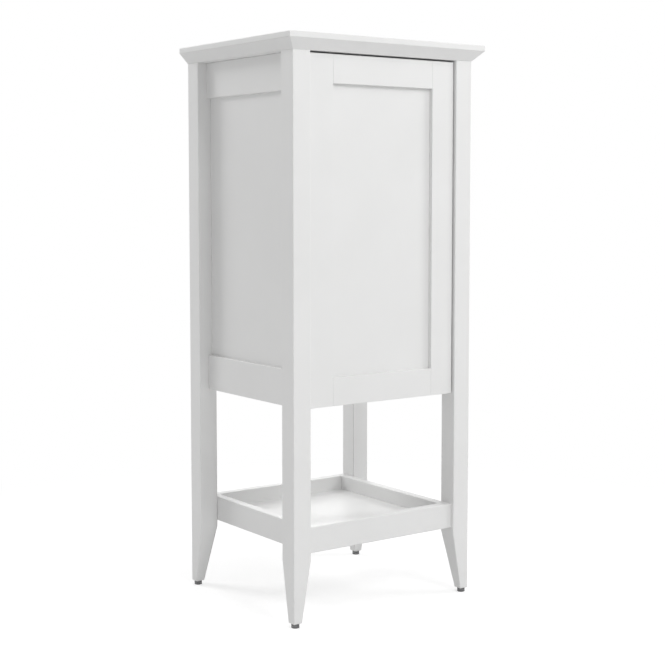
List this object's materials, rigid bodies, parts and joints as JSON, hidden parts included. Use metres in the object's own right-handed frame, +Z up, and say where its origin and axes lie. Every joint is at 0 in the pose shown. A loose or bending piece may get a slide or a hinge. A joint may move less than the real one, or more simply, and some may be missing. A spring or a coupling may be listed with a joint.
{
  "type": "bathroom cabinet",
  "caption": "Tall narrow bathroom cabinet with a panelled door on concealed hinges, an open tray between tapered legs and a bevelled top.",
  "frame": {"origin": "on the floor, under the middle of the top board's bounding box", "axes": "+X to the right seen from the front, +Y to the back, +Z up"},
  "size_m": [0.4514, 0.3842, 1.0673],
  "materials": {
    "painted_wood": "white satin paint on wood",
    "beech": "bare turned beech",
    "nickel_steel": "nickel-plated pressed steel",
    "dark_steel": "dull zinc-plated steel",
    "grey_plastic": "moulded light grey plastic"
  },
  "bodies": {
    "carcase": {"post_front_left": "painted_wood", "post_front_right": "painted_wood", "post_back_left": "painted_wood", "post_back_right": "painted_wood", "side_rail_bottom_left": "painted_wood", "side_rail_top_left": "painted_wood", "side_rail_bottom_right": "painted_wood", "side_rail_top_right": "painted_wood", "side_panel_left": "painted_wood", "side_panel_right": "painted_wood", "back_rail_bottom": "painted_wood", "back_rail_top": "painted_wood", "back_panel": "painted_wood", "cabinet_floor": "painted_wood", "front_stretcher": "painted_wood", "back_stretcher": "painted_wood", "carcase_tenons": "beech", "shelf_pins": "nickel_steel", "top_frame_front": "painted_wood", "top_frame_left": "painted_wood", "top_frame_right": "painted_wood", "top_frame_back": "painted_wood", "top_board": "painted_wood", "top_screws": "nickel_steel", "tray_rail_front": "painted_wood", "tray_rail_back": "painted_wood", "tray_rail_left": "painted_wood", "tray_rail_right": "painted_wood", "tray_floor": "painted_wood", "tray_tenons": "beech", "leg_sleeves": "nickel_steel", "hinge_arms": "nickel_steel", "hinge_plates": "nickel_steel", "hinge_arm_screws": "nickel_steel", "latch_body": "grey_plastic", "carcase_screws": "nickel_steel"},
    "door": {"door_stile_left": "painted_wood", "door_stile_right": "painted_wood", "door_rail_bottom": "painted_wood", "door_rail_top": "painted_wood", "door_panel": "painted_wood", "hinge_cups": "nickel_steel", "hinge_cup_screws": "nickel_steel", "latch_strike": "nickel_steel"},
    "plunger": {"latch_plunger": "grey_plastic"},
    "lower_shelf": {"shelf_1": "painted_wood"},
    "upper_shelf": {"shelf_2": "painted_wood"},
    "short_link_bottom": {"hinge_short_link_bottom": "nickel_steel"},
    "long_link_bottom": {"hinge_long_link_bottom": "nickel_steel"},
    "short_link_top": {"hinge_short_link_top": "nickel_steel"},
    "long_link_top": {"hinge_long_link_top": "nickel_steel"},
    "pad_front_left": {"foot_pad_front_left": "dark_steel"},
    "stud_front_left": {"foot_stud_front_left": "nickel_steel"},
    "pad_front_right": {"foot_pad_front_right": "dark_steel"},
    "stud_front_right": {"foot_stud_front_right": "nickel_steel"},
    "pad_back_left": {"foot_pad_back_left": "dark_steel"},
    "stud_back_left": {"foot_stud_back_left": "nickel_steel"},
    "pad_back_right": {"foot_pad_back_right": "dark_steel"},
    "stud_back_right": {"foot_stud_back_right": "nickel_steel"}
  },
  "joints": [
    {"name": "short_link_top_turn", "type": "hinge", "parent": "carcase", "child": "short_link_top", "pos_m": [0.143, -0.1405, 0.9345], "axis": [0, 0, -1], "range_deg": [0, 27.6]},
    {"name": "door_turn", "type": "hinge", "parent": "short_link_top", "child": "door", "pos_m": [0.1556, -0.1562, 0.9345], "axis": [0, 0, 1], "range_deg": [0, 117.6]},
    {"name": "short_link_bottom_turn", "type": "hinge", "parent": "carcase", "child": "short_link_bottom", "pos_m": [0.143, -0.1405, 0.4984], "axis": [0, 0, -1], "range_deg": [0, 27.6]},
    {"name": "long_link_bottom_turn", "type": "hinge", "parent": "carcase", "child": "long_link_bottom", "pos_m": [0.1287, -0.1294, 0.4984], "axis": [0, 0, -1], "range_deg": [0, 26.4]},
    {"name": "long_link_top_turn", "type": "hinge", "parent": "carcase", "child": "long_link_top", "pos_m": [0.1287, -0.1294, 0.9345], "axis": [0, 0, -1], "range_deg": [0, 26.4]},
    {"name": "plunger_slide", "type": "slide", "parent": "carcase", "child": "plunger", "axis": [0, -1, 0], "range_m": [0, 0.014]},
    {"name": "lower_shelf_lift", "type": "slide", "parent": "carcase", "child": "lower_shelf", "axis": [0, 0, 1], "range_m": [0, 0.012]},
    {"name": "upper_shelf_lift", "type": "slide", "parent": "carcase", "child": "upper_shelf", "axis": [0, 0, 1], "range_m": [0, 0.012]},
    {"name": "pad_front_left_lower", "type": "slide", "parent": "carcase", "child": "pad_front_left", "axis": [0, 0, -1], "range_m": [0, 0.012]},
    {"name": "stud_front_left_spin", "type": "hinge", "parent": "pad_front_left", "child": "stud_front_left", "pos_m": [-0.19835, -0.16475, 0.0078], "axis": [0, 0, -1], "range_deg": [0, 4320]},
    {"name": "pad_front_right_lower", "type": "slide", "parent": "carcase", "child": "pad_front_right", "axis": [0, 0, -1], "range_m": [0, 0.012]},
    {"name": "stud_front_right_spin", "type": "hinge", "parent": "pad_front_right", "child": "stud_front_right", "pos_m": [0.19835, -0.16475, 0.0078], "axis": [0, 0, -1], "range_deg": [0, 4320]},
    {"name": "pad_back_left_lower", "type": "slide", "parent": "carcase", "child": "pad_back_left", "axis": [0, 0, -1], "range_m": [0, 0.012]},
    {"name": "stud_back_left_spin", "type": "hinge", "parent": "pad_back_left", "child": "stud_back_left", "pos_m": [-0.19835, 0.18295, 0.0078], "axis": [0, 0, -1], "range_deg": [0, 4320]},
    {"name": "pad_back_right_lower", "type": "slide", "parent": "carcase", "child": "pad_back_right", "axis": [0, 0, -1], "range_m": [0, 0.012]},
    {"name": "stud_back_right_spin", "type": "hinge", "parent": "pad_back_right", "child": "stud_back_right", "pos_m": [0.19835, 0.18295, 0.0078], "axis": [0, 0, -1], "range_deg": [0, 4320]}
  ],
  "couplings": [
    {"joint": "short_link_top_turn", "follows": "door_turn", "ratio": 0.23469},
    {"joint": "short_link_bottom_turn", "follows": "door_turn", "ratio": 0.23469},
    {"joint": "long_link_top_turn", "follows": "door_turn", "ratio": 0.22449},
    {"joint": "long_link_bottom_turn", "follows": "door_turn", "ratio": 0.22449},
    {"joint": "plunger_slide", "follows": "door_turn", "m_per_rad": 0.0068209},
    {"joint": "stud_front_left_spin", "follows": "pad_front_left_lower", "rad_per_m": 6283.2},
    {"joint": "stud_front_right_spin", "follows": "pad_front_right_lower", "rad_per_m": 6283.2},
    {"joint": "stud_back_left_spin", "follows": "pad_back_left_lower", "rad_per_m": 6283.2},
    {"joint": "stud_back_right_spin", "follows": "pad_back_right_lower", "rad_per_m": 6283.2}
  ]
}
